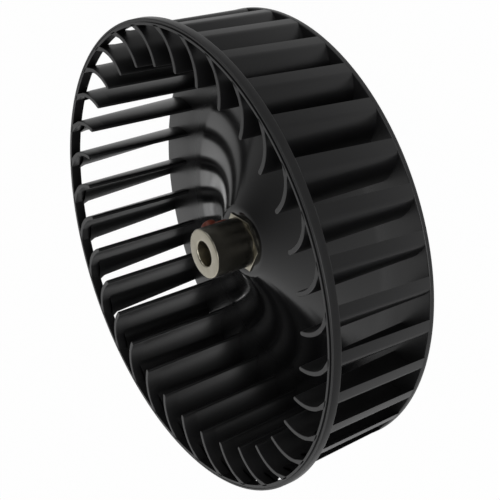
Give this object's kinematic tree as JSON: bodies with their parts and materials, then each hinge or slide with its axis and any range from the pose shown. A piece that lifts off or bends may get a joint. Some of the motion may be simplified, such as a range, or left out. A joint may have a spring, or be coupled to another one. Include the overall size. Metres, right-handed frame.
{
  "type": "inducer blower wheel",
  "caption": "Black moulded blower wheel with forward-curved blades round an open inlet, a coned back plate and a steel hub with a set screw.",
  "frame": {"origin": "centre of the wheel's back face, on its axis", "axes": "+Z along the wheel's axis towards the inlet, +X along the set screw"},
  "size_m": [0.146, 0.146, 0.0385],
  "materials": {
    "black_moulding": "moulded, half gloss",
    "hub_steel": "turned",
    "screw_steel": "oiled",
    "locking_compound": "dried compound"
  },
  "bodies": {
    "root": {"wheel": "black_moulding", "hub": "hub_steel", "set_screw": "screw_steel", "lock_patch": "locking_compound"}
  },
  "joints": []
}
